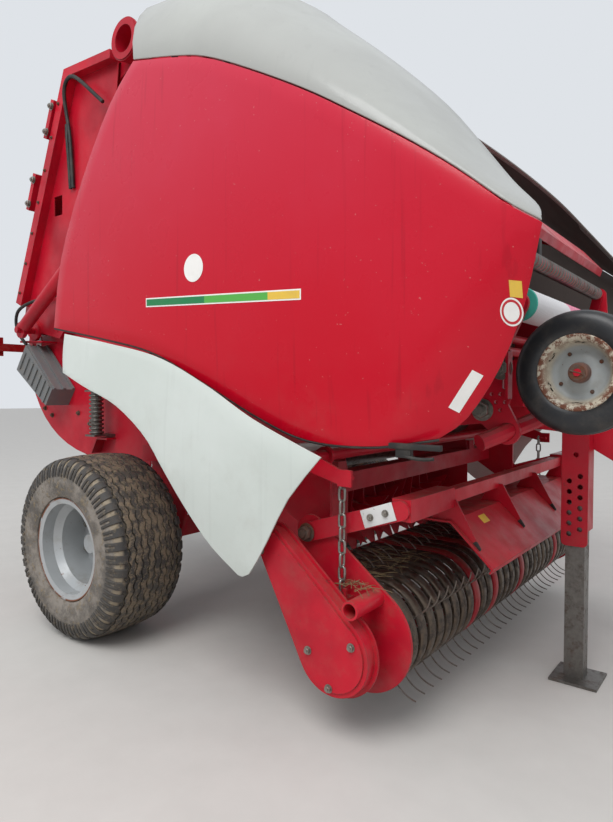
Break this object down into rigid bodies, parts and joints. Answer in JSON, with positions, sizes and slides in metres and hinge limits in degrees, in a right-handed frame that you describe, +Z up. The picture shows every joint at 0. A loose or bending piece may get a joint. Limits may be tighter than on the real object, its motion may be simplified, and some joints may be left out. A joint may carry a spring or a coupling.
{
  "type": "towed round baler",
  "caption": "Towed variable-chamber round baler with gull-wing side covers, lifting tailgate, tined pickup, stowed gauge wheels and a parking stand.",
  "frame": {"origin": "middle of the part's box, on the ground", "axes": "+X forward to the hitch eye, +Y to the machine's left, +Z up"},
  "size_m": [4.445, 2.4, 3.0558],
  "materials": {
    "red_paint": "gloss",
    "cover_red": "gloss",
    "cream_plastic": "satin",
    "rim_grey": "satin",
    "tyre_rubber": "matte",
    "belt_rubber": "matte",
    "hose_rubber": "satin",
    "worn_steel": "matte",
    "bare_steel": "satin",
    "chrome_rod": "polished",
    "net_white": "matte",
    "lamp_plastic": "gloss",
    "chock_steel": "matte",
    "dark_paint": "matte"
  },
  "bodies": {
    "root": {"chassis": "red_paint", "chamber_side_right": "red_paint", "chamber_side_left": "red_paint", "front_frame": "red_paint", "front_rollers": "bare_steel", "front_belts": "belt_rubber", "front_hood": "red_paint", "gearbox": "red_paint", "drawbar": "red_paint", "hitch_eye": "bare_steel", "stand_channel": "red_paint", "fender_right": "cream_plastic", "fender_left": "cream_plastic", "gauge_wheel_arms": "red_paint", "hydraulic_hoses": "hose_rubber"},
    "wheel_right": {"tyre_right": "tyre_rubber", "rim_right": "rim_grey"},
    "wheel_left": {"tyre_left": "tyre_rubber", "rim_left": "rim_grey"},
    "tailgate": {"tailgate_frame": "red_paint", "tailgate_rollers": "bare_steel", "tailgate_belts": "belt_rubber", "rear_lamps": "lamp_plastic", "lock_springs": "worn_steel", "wheel_chock": "chock_steel"},
    "ram_barrel_right": {"ram_barrel_right": "red_paint"},
    "ram_barrel_left": {"ram_barrel_left": "red_paint"},
    "ram_rod_right": {"ram_rod_right": "chrome_rod"},
    "ram_rod_left": {"ram_rod_left": "chrome_rod"},
    "cover_right": {"cover_right": "cover_red", "cover_band_right": "cream_plastic", "cover_frame_right": "dark_paint"},
    "cover_left": {"cover_left": "cover_red", "cover_band_left": "cream_plastic", "cover_frame_left": "dark_paint"},
    "pickup": {"pickup_frame": "red_paint", "stripper_bands": "worn_steel", "lift_chain": "bare_steel"},
    "reel": {"pickup_reel": "worn_steel"},
    "windguard": {"windguard": "red_paint"},
    "stand": {"stand_leg": "bare_steel"},
    "net_roll": {"net_roll": "net_white"},
    "feed_rotor": {"feed_rotor": "red_paint"},
    "gauge_wheel_right": {"gauge_wheel_right": "tyre_rubber"},
    "gauge_wheel_left": {"gauge_wheel_left": "tyre_rubber"}
  },
  "joints": [
    {"name": "wheel_right_spin", "type": "hinge", "parent": "root", "child": "wheel_right", "pos_m": [-0.7925, -1.0045, 0.4255], "axis": [0, 1, 0], "continuous": true},
    {"name": "wheel_left_spin", "type": "hinge", "parent": "root", "child": "wheel_left", "pos_m": [-0.7925, 1.0045, 0.4255], "axis": [0, 1, 0], "continuous": true},
    {"name": "tailgate_hinge", "type": "hinge", "parent": "root", "child": "tailgate", "pos_m": [-0.8825, 0, 2.95], "axis": [0, 1, 0], "range_deg": [0, 60]},
    {"name": "ram_pivot_right", "type": "hinge", "parent": "tailgate", "child": "ram_barrel_right", "pos_m": [-1.9125, -0.782, 1.53], "axis": [0, 1, 0], "range_deg": [-9, 0.5]},
    {"name": "ram_slide_right", "type": "slide", "parent": "ram_barrel_right", "child": "ram_rod_right", "axis": [0.85, 0, 0.5268], "range_m": [0, 0.62]},
    {"name": "ram_pivot_left", "type": "hinge", "parent": "tailgate", "child": "ram_barrel_left", "pos_m": [-1.9125, 0.782, 1.53], "axis": [0, 1, 0], "range_deg": [-9, 0.5]},
    {"name": "ram_slide_left", "type": "slide", "parent": "ram_barrel_left", "child": "ram_rod_left", "axis": [0.85, 0, 0.5268], "range_m": [0, 0.62]},
    {"name": "cover_hinge_right", "type": "hinge", "parent": "root", "child": "cover_right", "pos_m": [-0.2925, -0.64, 2.895], "axis": [-1, 0, 0], "range_deg": [0, 60]},
    {"name": "cover_hinge_left", "type": "hinge", "parent": "root", "child": "cover_left", "pos_m": [-0.2925, 0.64, 2.895], "axis": [1, 0, 0], "range_deg": [0, 60]},
    {"name": "pickup_lift", "type": "hinge", "parent": "root", "child": "pickup", "pos_m": [0.4975, 0, 0.66], "axis": [0, -1, 0], "range_deg": [0, 20]},
    {"name": "reel_spin", "type": "hinge", "parent": "pickup", "child": "reel", "pos_m": [0.7125, 0, 0.335], "axis": [0, 1, 0], "continuous": true},
    {"name": "windguard_hinge", "type": "hinge", "parent": "pickup", "child": "windguard", "pos_m": [0.4975, 0, 0.66], "axis": [0, -1, 0], "range_deg": [0, 15]},
    {"name": "stand_slide", "type": "slide", "parent": "root", "child": "stand", "axis": [0, 0, 1], "range_m": [0, 0.42]},
    {"name": "net_roll_spin", "type": "hinge", "parent": "root", "child": "net_roll", "pos_m": [1.0925, 0, 1.455], "axis": [0, 1, 0], "continuous": true},
    {"name": "feed_rotor_spin", "type": "hinge", "parent": "root", "child": "feed_rotor", "pos_m": [0.1675, 0, 0.56], "axis": [0, 1, 0], "continuous": true},
    {"name": "gauge_wheel_right_spin", "type": "hinge", "parent": "root", "child": "gauge_wheel_right", "pos_m": [1.2975, -0.64, 1.215], "axis": [0, 1, 0], "continuous": true},
    {"name": "gauge_wheel_left_spin", "type": "hinge", "parent": "root", "child": "gauge_wheel_left", "pos_m": [1.2975, 0.64, 1.215], "axis": [0, 1, 0], "continuous": true}
  ],
  "couplings": [
    {"joint": "ram_pivot_right", "follows": "tailgate_hinge", "ratio": -0.1423},
    {"joint": "ram_slide_right", "follows": "tailgate_hinge", "m_per_rad": 0.5799},
    {"joint": "ram_pivot_left", "follows": "tailgate_hinge", "ratio": -0.1423},
    {"joint": "ram_slide_left", "follows": "tailgate_hinge", "m_per_rad": 0.5799}
  ]
}
